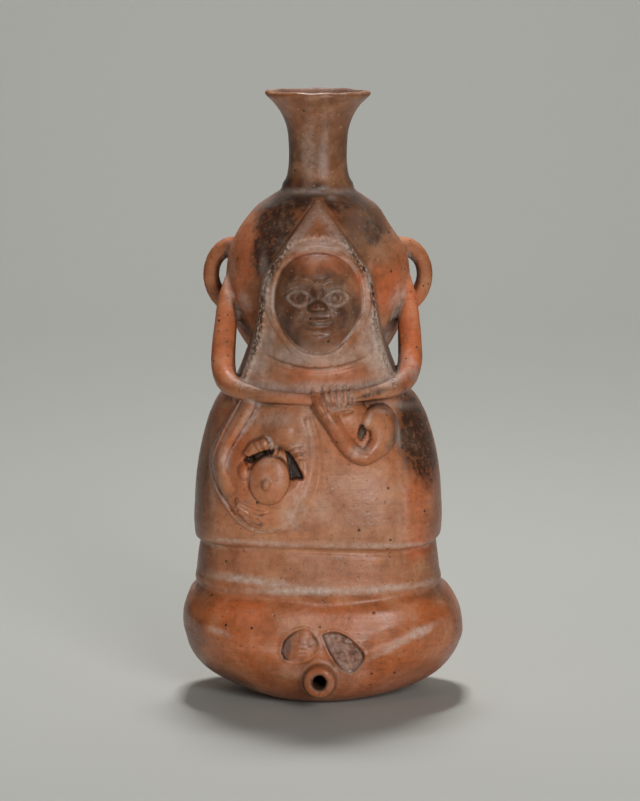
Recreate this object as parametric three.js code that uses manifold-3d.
// A paccha: a fired clay pouring vessel in the shape of a seated figure who carries a round
// jar on the back, held by a rope across the chest, and nurses a child in one arm.
// Liquid goes in at the jar's mouth and comes out of the small spout between the feet.
// Millimetres, +Z up, the figure faces -Y, and the origin is the middle of the resting spot.
import * as THREE from "three";
import { mergeVertices } from "three/addons/utils/BufferGeometryUtils.js";
import Module from "manifold-3d";

const wasm = await Module();
wasm.setup();

// The seated body, from the floor to the top of the shoulders.
const figureHeight = 141;
const lapHalfWidth = 60;
const tunicHalfWidth = 53.5;
const bandHalfWidth = 51.5;
const restHalfWidth = 24;
const bodyDepthShare = 0.77;
const kneeOffset = 2.6;
const hemOverhang = 2.2;
const bodyWall = 5;

// The jar, its neck and its mouth.
const jarHalfWidth = 40;
const jarDepthShare = 0.92;
const jarTopRise = 40.5;
const jarBottomDrop = 46;
const jarSetBack = 15;
const jarSink = 8;
const jarWall = 4;
const neckHeight = 42.5;
const neckRadius = 12.5;
const neckWall = 3.4;
const neckFillet = 3.2;
const mouthRadius = 22.6;
const lipRadius = 2.2;
const lipFlat = 1.2;

// The hooded head, from the chest to the peak of the hood.
const headHeight = 77;
const hoodHalfWidth = 25;
const mantleHalfWidth = 30.5;
const faceHalfWidth = 19.5;
const faceHalfHeight = 21;
const brimRadius = 1.7;

// The rope, the lug handles, the arms and the spout.
const ropeRadius = 4.8;
const chestRopeRadius = 3.5;
const lugRadius = 2.8;
const lugReach = 7.8;
const lugRise = 12.6;
const lugSetBack = 11;
const armRadius = 5.6;
const fingerRadius = 1.75;
const spoutRadius = 6.6;
const spoutBoreRadius = 3.1;
const spoutReach = 8;
const scarDepth = 1.3;

// Numbers of faces around and along the main forms.
const bodySides = 32;
const jarSides = 24;
const coilSides = 8;

// Places worked out from the sizes above.
const jarCentreZ = figureHeight + jarBottomDrop - jarSink;
const neckBaseZ = jarCentreZ + jarTopRise - 2;
const mouthZ = neckBaseZ + neckHeight;
const headBaseZ = figureHeight - 6;
const hemZ = figureHeight * 0.49;
const waistZ = figureHeight * 0.343;

// Solids

// A closed three.js geometry as a solid: shared vertices are merged and faces turned outwards.
function solid(geometry) {
  const bare = geometry.index ? geometry.toNonIndexed() : geometry.clone();
  bare.deleteAttribute("normal");
  bare.deleteAttribute("uv");
  const merged = mergeVertices(bare, 1e-3);
  const corners = merged.index.array;
  const place = merged.attributes.position;
  const kept = [];
  let volume = 0;
  const [a, b, c] = [new THREE.Vector3(), new THREE.Vector3(), new THREE.Vector3()];
  for (let i = 0; i < corners.length; i += 3) {
    const [p, q, r] = corners.slice(i, i + 3);
    if (p === q || q === r || r === p) continue;
    kept.push(p, q, r);
    a.fromBufferAttribute(place, p);
    b.fromBufferAttribute(place, q);
    c.fromBufferAttribute(place, r);
    volume += a.dot(b.cross(c));
  }
  if (volume < 0) kept.reverse();
  return new wasm.Manifold(
    new wasm.Mesh({
      numProp: 3,
      vertProperties: new Float32Array(place.array),
      triVerts: new Uint32Array(kept),
    }),
  );
}

function join(...pieces) {
  return pieces.flat().reduce((whole, piece) => whole.add(piece));
}

// Moves every vertex of a geometry by a rule that takes and returns a Vector3.
function bend(geometry, rule) {
  const place = geometry.attributes.position;
  const p = new THREE.Vector3();
  for (let i = 0; i < place.count; i++) {
    rule(p.fromBufferAttribute(place, i), i);
    place.setXYZ(i, p.x, p.y, p.z);
  }
  return geometry;
}

// A turned form: the profile is [radius, height] pairs from axis to axis, and +Z is up.
function turned(profile, sides) {
  const points = profile.map(([r, z]) => new THREE.Vector2(Math.max(r, 0), z));
  return new THREE.LatheGeometry(points, sides).rotateX(Math.PI / 2);
}

// An egg or ball with half-sizes [x, y, z] about a centre, turned by angles about X, Y and Z.
function ball(centre, half, sides = 16, turn = [0, 0, 0]) {
  return new THREE.SphereGeometry(1, sides, Math.round(sides * 0.6))
    .rotateX(Math.PI / 2)
    .scale(...half)
    .rotateX(turn[0])
    .rotateY(turn[1])
    .rotateZ(turn[2])
    .translate(...centre);
}

// A coil of clay along a smooth path. Its radius changes along the path by radiusAt(t), and
// its section is pressed flat towards `facing` by the share `flat`. The ends are rounded.
function coil(points, radiusAt, { steps = 14, sides = coilSides, facing = [0, -1, 0], flat = 1 } = {}) {
  const places = points.map((p) => new THREE.Vector3(...p));
  const path = new THREE.CatmullRomCurve3(places, false, "centripetal");
  const shape = new THREE.CylinderGeometry(1, 1, 1, sides, steps + 2);
  const outward = new THREE.Vector3(...facing).normalize();
  return bend(shape, (p) => {
    const row = Math.round((0.5 - p.y) * (steps + 2));
    const inner = Math.min(Math.max(row - 1, 0), steps) / steps;
    const end = row === 0 ? -1 : row === steps + 2 ? 1 : 0;
    const along = path.getTangentAt(inner);
    const up = outward.clone().addScaledVector(along, -outward.dot(along)).normalize();
    const across = new THREE.Vector3().crossVectors(along, up);
    const radius = radiusAt(inner);
    const size = radius * (end ? 0.5 : 1);
    const [side, lift] = [p.x * size, p.z * size * flat];
    p.copy(path.getPointAt(inner));
    p.addScaledVector(along, end * radius * 0.6).addScaledVector(across, side).addScaledVector(up, lift);
  });
}

const lerp = THREE.MathUtils.lerp;
const smooth = THREE.MathUtils.smoothstep;
const mirrored = (points) => points.map(([x, y, z]) => [-x, y, z]);

// The seated body

// Half the body's width at a height, without the hem: a rounded lap, a waist and a bell.
function bodyHalfWidth(z) {
  const t = z / figureHeight;
  if (z < waistZ) {
    const lapMiddle = waistZ * 0.6;
    const reach = z < lapMiddle ? lapMiddle : waistZ - lapMiddle;
    const narrow = z < lapMiddle ? restHalfWidth : bandHalfWidth;
    const share = Math.abs(z - lapMiddle) / reach;
    return narrow + (lapHalfWidth - narrow) * Math.pow(Math.max(1 - Math.pow(share, 2.2), 0), 0.5);
  }
  if (z < hemZ) return bandHalfWidth + 0.6 * (1 - (z - waistZ) / (hemZ - waistZ));
  const shoulder = Math.max((t - 0.58) / 0.42, 0);
  return tunicHalfWidth * Math.pow(Math.max(1 - Math.pow(shoulder, 2.5), 0), 0.38);
}

// How deep the body is for its width: the chest stays upright while the shoulders draw in.
function depthShare(z) {
  return bodyDepthShare + 0.2 * smooth(z / figureHeight, 0.7, 0.97);
}

// Presses a turned form into the body's section: a rounded square that is wider than deep,
// its lap lower in front, and its far knee a little further out.
function pressBody(p) {
  const z = p.z;
  const t = z / figureHeight;
  const radius = Math.hypot(p.x, p.y);
  if (radius < 1e-6) return;
  const power = lerp(2, 2.7, smooth(t, 0.05, 0.25) * (1 - smooth(t, 0.55, 0.9)));
  const [c, s] = [p.x / radius, p.y / radius];
  const square = Math.pow(Math.pow(Math.abs(c), power) + Math.pow(Math.abs(s), power), -1 / power);
  const lap = Math.max(1 - Math.abs(z - waistZ * 0.55) / (waistZ * 0.55), 0);
  const front = Math.max(-s, 0) ** 3;
  p.x = c * square * radius + (c > 0 ? kneeOffset * c * lap : 0);
  p.y = s * square * radius * depthShare(z);
  p.z = z - waistZ * 0.2 * lap * front;
}

// Where the front of the body lies at a place across and up.
function frontY(x, z) {
  const w = bodyHalfWidth(z);
  const t = z / figureHeight;
  const power = lerp(2, 2.7, smooth(t, 0.05, 0.25) * (1 - smooth(t, 0.55, 0.9)));
  const across = Math.min(Math.abs(x / w), 0.98);
  return -w * depthShare(z) * Math.pow(1 - Math.pow(across, power), 1 / power);
}

function bodyProfile() {
  const profile = [[0, 0]];
  const rows = (from, to, count, change) => {
    for (let i = 0; i <= count; i++) {
      const z = lerp(from, to, i / count);
      profile.push([bodyHalfWidth(z) + change(i / count), z]);
    }
  };
  rows(0, waistZ, 8, () => 0);
  rows(waistZ + 0.8, hemZ - 1.6, 2, () => 0);
  rows(hemZ, figureHeight * 0.66, 4, (t) => hemOverhang * (t ? 1 - t : 0.55));
  rows(figureHeight * 0.73, figureHeight * 0.985, 6, () => 0);
  profile.push([0, figureHeight]);
  return profile;
}

function body() {
  return bend(turned(bodyProfile(), bodySides), pressBody);
}

// The inside of the body, one wall's thickness within the outside.
function bodyHollow() {
  const [low, high] = [bodyWall, figureHeight - bodyWall];
  const rows = 9;
  const profile = [[0, low]];
  for (let i = 0; i <= rows; i++) {
    const z = lerp(low, high, i / rows);
    const outside = Math.min(bodyHalfWidth(z - bodyWall * 0.7), bodyHalfWidth(z + bodyWall * 0.7));
    const depthRoom = bodyWall / depthShare(z);
    if (outside > depthRoom + 4) profile.push([outside - depthRoom, z]);
  }
  profile.push([0, high]);
  return bend(turned(profile, 20), pressBody);
}

// The jar

const jarRadiusAt = (z, wall = 0) => {
  const rise = z > jarCentreZ ? jarTopRise - wall : jarBottomDrop - wall;
  return (jarHalfWidth - wall) * Math.sqrt(Math.max(1 - ((z - jarCentreZ) / rise) ** 2, 0));
};

// The neck's outside radius: a fillet at the foot, a throat, and a flare to the mouth.
function neckRadiusAt(z) {
  const throatZ = neckBaseZ + neckHeight * 0.32;
  if (z < throatZ) return neckRadius + neckFillet * ((throatZ - z) / (throatZ - neckBaseZ)) ** 3;
  return neckRadius + (mouthRadius - neckRadius) * ((z - throatZ) / (mouthZ - lipRadius - throatZ)) ** 2.6;
}

// Presses a turned form to the jar's oval section and sets it back, fully at the jar's
// middle and not at all at the neck, which stays round.
function pressJar(p) {
  const round = smooth(p.z, jarCentreZ + jarTopRise * 0.5, neckBaseZ);
  p.y = p.y * lerp(jarDepthShare, 1, round) + jarSetBack;
}

function jar() {
  const profile = [[0, jarCentreZ - jarBottomDrop]];
  const rows = 10;
  for (let i = 1; i <= rows; i++) {
    const angle = lerp(-Math.PI / 2, Math.asin((neckBaseZ - 2 - jarCentreZ) / jarTopRise), i / rows);
    const z = jarCentreZ + Math.sin(angle) * (angle > 0 ? jarTopRise : jarBottomDrop);
    profile.push([jarRadiusAt(z), z]);
  }
  for (let i = 0; i <= 7; i++) {
    const z = lerp(neckBaseZ, mouthZ - lipRadius, i / 7);
    profile.push([neckRadiusAt(z), z]);
  }
  profile.push([mouthRadius - lipRadius * 0.3, mouthZ - lipRadius * 0.3]);
  profile.push([mouthRadius - lipRadius, mouthZ], [0, mouthZ]);
  return bend(turned(profile, jarSides), pressJar);
}

// The inside of the jar and its neck, run past the mouth so that the mouth is open.
function jarHollow() {
  const profile = [[0, jarCentreZ - jarBottomDrop + jarWall]];
  const rows = 6;
  const top = Math.asin(Math.min((neckBaseZ - 2 - jarCentreZ) / (jarTopRise - jarWall), 0.96));
  for (let i = 1; i <= rows; i++) {
    const angle = lerp(-Math.PI / 2, top, i / rows);
    const z = jarCentreZ + Math.sin(angle) * ((angle > 0 ? jarTopRise : jarBottomDrop) - jarWall);
    profile.push([jarRadiusAt(z, jarWall), z]);
  }
  for (let i = 1; i <= 6; i++) {
    const z = lerp(neckBaseZ, mouthZ - lipRadius, i / 6);
    profile.push([neckRadiusAt(z) - neckWall, z]);
  }
  const lipInside = mouthRadius - lipRadius - lipFlat;
  profile.push([lipInside, mouthZ], [lipInside, mouthZ + 4], [0, mouthZ + 4]);
  return bend(turned(profile, 18), pressJar);
}

// The front of the jar at a place across and up.
function jarFrontY(x, z) {
  const r = jarRadiusAt(z);
  return jarSetBack - jarDepthShare * Math.sqrt(Math.max(r * r - x * x, 0));
}

// The opening where the jar stands on the shoulders and pours into the body.
function jarPassage() {
  const radius = jarHalfWidth * 0.34;
  const length = jarSink + bodyWall + jarWall + 6;
  return new THREE.CylinderGeometry(radius, radius, length, 20)
    .rotateX(Math.PI / 2)
    .translate(0, jarSetBack * 0.7, figureHeight - jarSink / 2);
}

// The hooded head. Heights are shares of headHeight above headBaseZ.

const headZ = (share) => headBaseZ + headHeight * share;

// Half the hood's width: it falls straight from the peak, is upright at the face, and
// spreads into the mantle over the chest.
function hoodHalfWidthAt(t) {
  const slope = hoodHalfWidth * (1 - Math.max(1 - (1 - t) / 0.545, 0) ** 2);
  return slope + (mantleHalfWidth - hoodHalfWidth) * (1 - smooth(t, 0.08, 0.46));
}

// How far the hood's front stands forward of the body's axis.
function hoodFront(t) {
  const chest = bodyHalfWidth(headBaseZ - 8) * depthShare(headBaseZ - 8);
  const brow = -jarFrontY(0, headZ(0.72)) + 17;
  const peak = -jarFrontY(0, headZ(0.96)) + 3;
  if (t < 0.25) return lerp(chest, brow - 2, smooth(t, 0, 0.25));
  return lerp(brow, peak, Math.pow(Math.max((t - 0.66) / 0.34, 0), 1.5));
}

function hood() {
  const rows = 12;
  const profile = [[0, 0]];
  for (let i = 0; i <= rows; i++) profile.push([1, i / rows]);
  profile.push([0, 1]);
  const back = -jarSetBack * 0.2;
  return bend(turned(profile, 20), (p) => {
    const t = p.z;
    const front = hoodFront(t);
    const middle = lerp(back, front, 0.25);
    p.x *= Math.max(hoodHalfWidthAt(Math.min(t, 0.985)), 0.8);
    p.y = -middle + p.y * (p.y < 0 ? front - middle : middle - back + 4);
    p.z = headZ(t);
  });
}

// The face is an oval set in the hood, under a rolled brim.
const faceCentre = [0, -hoodFront(0.5) + 15.5, headZ(0.52)];

function face() {
  const [x, y, z] = faceCentre;
  const chinLean = 0.1;
  return ball([x, y, z], [faceHalfWidth, 17, faceHalfHeight], 18, [chinLean, 0, 0]);
}

// A place on the face's own surface, by shares of its half-width and half-height.
function onFace(across, up, lift = 0) {
  const [x, y, z] = faceCentre;
  const depth = Math.sqrt(Math.max(1 - across * across - up * up, 0));
  return [x + across * faceHalfWidth, y - 17 * depth - up * 2 - lift, z + up * faceHalfHeight];
}

function faceOpening() {
  const [x, y, z] = faceCentre;
  return ball([x, y - 17, z - 3], [faceHalfWidth + 0.5, 8, faceHalfHeight * 1.12], 16);
}

// A ring of clay around an eye, drawn on the face's surface.
function eye(side) {
  const ring = [];
  for (let i = 0; i <= 10; i++) {
    const angle = (i / 10) * Math.PI * 2;
    ring.push(onFace(side * (0.46 + 0.23 * Math.cos(angle)), 0.2 + 0.13 * Math.sin(angle), -0.1));
  }
  const lid = coil(ring.slice(0, 10).concat([ring[0]]), () => 0.8, { steps: 9, sides: 4 });
  const pupil = ball(onFace(side * 0.46, 0.2, -0.5), [2.6, 1.6, 1.7], 6);
  return [lid, pupil];
}

function features() {
  const ridge = [onFace(0, 0.36, -1), onFace(0, 0.12, 0), onFace(0, -0.1, 0.8)];
  const nose = coil(ridge, (t) => lerp(1.5, 2.8, t), { steps: 3, sides: 6 });
  const lips = [-0.4, -0.5].map((up) =>
    coil(
      [-0.3, -0.15, 0, 0.15, 0.3].map((a) => onFace(a, up, -0.2)),
      (t) => 1.2 * Math.sqrt(Math.max(1.02 - (2 * t - 1) ** 2, 0.1)),
      { steps: 4, sides: 5 },
    ),
  );
  const chin = ball(onFace(0, -0.74, -2.6), [6, 4, 3.6], 8);
  return [...eye(-1), ...eye(1), nose, ...lips, chin];
}

function brim() {
  const [, , z] = faceCentre;
  const points = [];
  for (let i = 0; i <= 12; i++) {
    const angle = lerp(-0.5, Math.PI + 0.5, i / 12);
    const x = Math.cos(angle) * (faceHalfWidth + 0.3);
    const up = z - 3 + Math.sin(angle) * faceHalfHeight * 1.14;
    const t = (up - headBaseZ) / headHeight;
    const share = Math.min(Math.abs(x) / hoodHalfWidthAt(t), 0.97);
    const front = hoodFront(t);
    const middle = lerp(-jarSetBack * 0.2, front, 0.25);
    points.push([x, -middle - (front - middle) * Math.sqrt(1 - share * share), up]);
  }
  return coil(points, () => brimRadius, { steps: 12, sides: 5 });
}

// The mantle's edge crosses under the chin as a soft roll.
function mantleRoll() {
  const front = hoodFront(0.12);
  const middle = lerp(-jarSetBack * 0.2, front, 0.25);
  const points = [-1, -0.6, 0, 0.6, 1].map((a) => {
    const round = Math.sqrt(1 - (0.62 * a) ** 2);
    return [a * mantleHalfWidth * 0.7, -middle - (front - middle) * round, headZ(0.14 + 0.03 * a * a)];
  });
  return coil(points, () => 3, { steps: 6, sides: 6, flat: 0.6 });
}

// The rope passes from the jar's sides down over the shoulders and across the chest.

const onBody = (x, z, lift) => [x, frontY(x, z) - lift, z];

function rope(side) {
  const jarSide = jarHalfWidth * 0.95;
  const shoulderX = tunicHalfWidth * 0.74;
  const top = jarCentreZ;
  const chestZ = figureHeight * 0.935;
  const points = [
    [jarSide * 0.95, jarSetBack * 0.45, top - 2],
    [jarSide, jarSetBack * 0.1, lerp(top, chestZ, 0.28)],
    [shoulderX + 0.8, -jarSetBack * 0.35, lerp(top, chestZ, 0.56)],
    [shoulderX + 0.8, -jarSetBack * 0.75, lerp(top, chestZ, 0.8)],
    [shoulderX - 4.5, -jarSetBack * 1.25, chestZ + 3.5],
    onBody(tunicHalfWidth * 0.5, chestZ, 3),
    onBody(tunicHalfWidth * 0.33, chestZ - 1, 2),
    onBody(0, chestZ - 2, 1.5),
  ];
  const thickness = (t) => {
    const luted = lerp(1.12, 1, smooth(t, 0, 0.1));
    return lerp(ropeRadius, chestRopeRadius, smooth(t, 0.5, 0.68)) * luted;
  };
  return coil(side < 0 ? mirrored(points) : points, thickness, { steps: 13 });
}

// A lug handle on each side of the jar, where the rope of a real jar is tied.
function lug(side) {
  const points = [];
  for (let i = 0; i <= 8; i++) {
    const angle = lerp(1.75, -1.75, i / 8);
    points.push([
      jarHalfWidth - 3.5 + (lugReach + 3) * Math.cos(angle),
      jarSetBack + lugSetBack,
      jarCentreZ + lugRise * Math.sin(angle),
    ]);
  }
  return coil(side < 0 ? mirrored(points) : points, () => lugRadius, { steps: 8, flat: 1.25 });
}

// The arm that holds the rope: from the shoulder down to the elbow and up to the hand.
function holdingArm() {
  const z = (share) => figureHeight * share;
  const path = [
    onBody(27, z(0.9), -1),
    onBody(31.5, z(0.845), 0.5),
    onBody(27.5, z(0.775), 1.5),
    onBody(18.5, z(0.735), 2),
    onBody(11.5, z(0.8), 2),
    onBody(5.5, z(0.885), 3),
  ];
  const arm = coil(path, (t) => armRadius * lerp(1.1, 0.86, t), { steps: 11, flat: 0.8 });
  const crook = ball(onBody(21, z(0.845), 0), [9, 3.4, 8], 8);
  const pit = ball(onBody(18.6, z(0.845), 3), [1.5, 6, 2.6], 8, [0, 0.35, 0]);
  const fingers = [];
  for (let i = 0; i < 5; i++) {
    const x = -1 + i * fingerRadius * 1.75;
    const chest = z(0.935);
    const bones = [onBody(x + 1.5, chest - 9, 4), onBody(x + 0.5, chest - 2, 6), onBody(x, chest + 4, 3)];
    fingers.push(coil(bones, () => fingerRadius, { steps: 3, sides: 5 }));
  }
  return { clay: [arm, crook, ...fingers], pit };
}

// The arm that cradles the child, with the hand spread under the bundle.
function cradlingArm() {
  const z = (share) => figureHeight * share;
  const path = [
    onBody(-31, z(0.9), -2),
    onBody(-36.5, z(0.82), -1),
    onBody(-42, z(0.745), 0),
    onBody(-41, z(0.68), 1),
    onBody(-35, z(0.61), 2),
    onBody(-28, z(0.565), 2.5),
  ];
  const arm = coil(path, (t) => armRadius * lerp(1, 0.8, t), { steps: 10, flat: 0.85 });
  const fingers = [0, 1, 2, 3].map((i) =>
    coil(
      [
        onBody(-30 + i * 0.6, z(0.6) - i * 2.2, 4),
        onBody(-25, z(0.578) - i * 2.3, 4.6),
        onBody(-19.5, z(0.566) - i * 1.9, 4.4),
      ],
      () => fingerRadius * 0.8,
      { steps: 3, sides: 5 },
    ),
  );
  return [arm, ...fingers];
}

// The child: a wrapped bundle, a deep hollow, and in it the head in a pointed cap.
const childCentre = [-21, figureHeight * 0.7];

function child() {
  const [x, z] = childCentre;
  const bundle = ball(onBody(x, z - 2, -6), [18.5, 10.5, 20], 16);
  const breast = ball(onBody(x + 6, z + 18, -4), [10, 7.5, 9], 12);
  const hollow = ball(onBody(x + 1.5, z + 1.5, 6.5), [11.5, 8.5, 12], 14);
  const tilt = 0.25;
  const capProfile = [[0, -9], [5.5, -9], [8.4, 0], [8, 1.4], [3.2, 4.2], [1.6, 6.2], [0, 6.6]];
  const cap = turned(capProfile, 18)
    .scale(1, 1.2, 1)
    .rotateZ(-tilt)
    .rotateX(Math.PI / 2)
    .translate(...onBody(x, z, 4.2));
  const arms = [
    coil([onBody(x - 9, z + 5, 3), onBody(x - 2, z + 13, 4)], () => 2, { steps: 3, sides: 6 }),
    coil([onBody(x + 8, z + 15, 2), onBody(x + 13.5, z + 5, 1)], () => 1.8, { steps: 2, sides: 6 }),
    ball(onBody(x - 11, z + 1, 1.5), [4.5, 4, 4], 8),
  ];
  return { clay: [bundle, breast], hollow, head: [cap, ...arms] };
}

// The spout and the two scars above it where pieces of clay have broken away.

const spoutZ = spoutRadius + 7.6;
const lapFrontY = () => -bodyHalfWidth(waistZ * 0.5) * bodyDepthShare;

function spout() {
  const front = lapFrontY() - spoutReach;
  const collarRadius = spoutRadius + 2.4;
  const tube = new THREE.LatheGeometry(
    [
      [0, 0],
      [collarRadius, 0],
      [spoutRadius + 0.8, spoutReach * 0.6 + 12],
      [spoutRadius, spoutReach + 11],
      [spoutRadius, spoutReach + 13.4],
      [spoutRadius - 0.7, spoutReach + 14],
      [0, spoutReach + 14],
    ].map(([r, h]) => new THREE.Vector2(r, h)),
    14,
  ).rotateX(Math.PI);
  tube.computeBoundingBox();
  const shift = front - tube.boundingBox.min.y;
  return tube.translate(0, shift, spoutZ);
}

function spoutBore() {
  const length = spoutReach + 40;
  const middle = lapFrontY() - spoutReach - 2 + length / 2;
  return new THREE.CylinderGeometry(spoutBoreRadius, spoutBoreRadius, length, 12)
    .translate(0, middle, spoutZ);
}

function scars() {
  return [-1, 1].map((side) =>
    ball(
      [side < 0 ? -6.5 : 10.4, lapFrontY() - 3.4 + scarDepth, waistZ * 0.57],
      [side < 0 ? 8.4 : 8, 5, 6],
      10,
      [0, side * 0.5, side * 0.2],
    ),
  );
}

// The whole vessel, one piece of fired clay

function vessel() {
  const arm = holdingArm();
  const infant = child();
  const trunk = join(solid(body()), infant.clay.map(solid));
  const hooded = solid(hood()).subtract(solid(faceOpening()));
  const outside = join(
    trunk.subtract(solid(infant.hollow)),
    infant.head.map(solid),
    solid(jar()),
    hooded,
    solid(face()),
    features().map(solid),
    [brim(), mantleRoll(), rope(-1), rope(1), lug(-1), lug(1), spout()].map(solid),
    arm.clay.map(solid),
    cradlingArm().map(solid),
  );
  const hollows = join([bodyHollow(), jarHollow(), jarPassage(), spoutBore()].map(solid));
  const cuts = join(solid(arm.pit), scars().map(solid));
  return outside.subtract(hollows).subtract(cuts);
}

// A solid's triangles as a three.js geometry.
function geometryOf(made) {
  const mesh = made.getMesh();
  const geometry = new THREE.BufferGeometry();
  geometry.setAttribute("position", new THREE.BufferAttribute(mesh.vertProperties, 3));
  geometry.setIndex(new THREE.BufferAttribute(mesh.triVerts, 1));
  return geometry;
}

const clay = new THREE.MeshStandardMaterial({ color: 0xa8633f, roughness: 0.5, metalness: 0 });
const paccha = new THREE.Mesh(geometryOf(vessel()), clay);
paccha.name = "paccha_vessel";

const group = new THREE.Group();
group.add(paccha);
export default group;
